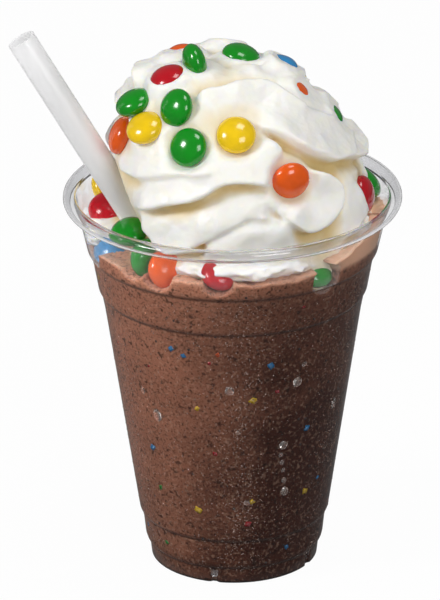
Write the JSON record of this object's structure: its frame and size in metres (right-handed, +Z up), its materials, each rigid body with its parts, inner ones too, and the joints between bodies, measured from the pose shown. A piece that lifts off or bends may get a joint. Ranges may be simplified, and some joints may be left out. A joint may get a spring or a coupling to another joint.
{
  "type": "milkshake in a clear cup",
  "caption": "Chocolate milkshake in a clear stepped cup with a rolled rim, topped with swirled whipped cream and sugar-coated lentils, with a wide straw.",
  "frame": {"origin": "centre of the cup's foot ring, on the surface it stands on", "axes": "+Z up along the cup's axis; the straw leans towards -X; -Y is the side shown to the viewer"},
  "size_m": [0.1127, 0.098, 0.1638],
  "materials": {
    "clear_plastic": "clear thin thermoformed plastic, polished",
    "chocolate_shake": "smooth wet chocolate milk drink with dark specks",
    "cream": "soft whipped cream, slightly glossy",
    "straw_plastic": "milky translucent plastic",
    "shell_green": "glossy green sugar shell",
    "shell_yellow": "glossy yellow sugar shell",
    "shell_orange": "glossy orange sugar shell",
    "shell_red": "glossy red sugar shell",
    "shell_blue": "glossy blue sugar shell"
  },
  "bodies": {
    "root": {"candy_blue_1": "shell_blue", "candy_blue_2": "shell_blue", "candy_blue_3": "shell_blue", "candy_blue_4": "shell_blue", "candy_green_1": "shell_green", "candy_green_10": "shell_green", "candy_green_11": "shell_green", "candy_green_2": "shell_green", "candy_green_3": "shell_green", "candy_green_4": "shell_green", "candy_green_5": "shell_green", "candy_green_6": "shell_green", "candy_green_7": "shell_green", "candy_green_8": "shell_green", "candy_green_9": "shell_green", "candy_orange_1": "shell_orange", "candy_orange_2": "shell_orange", "candy_orange_3": "shell_orange", "candy_orange_4": "shell_orange", "candy_orange_5": "shell_orange", "candy_orange_6": "shell_orange", "candy_orange_7": "shell_orange", "candy_red_1": "shell_red", "candy_red_2": "shell_red", "candy_red_3": "shell_red", "candy_red_4": "shell_red", "candy_red_5": "shell_red", "candy_red_6": "shell_red", "candy_red_7": "shell_red", "candy_red_8": "shell_red", "candy_yellow_1": "shell_yellow", "candy_yellow_2": "shell_yellow", "candy_yellow_3": "shell_yellow", "candy_yellow_4": "shell_yellow", "candy_yellow_5": "shell_yellow", "candy_yellow_6": "shell_yellow", "cup": "clear_plastic", "shake": "chocolate_shake", "straw": "straw_plastic", "whipped_cream": "cream"}
  },
  "joints": []
}
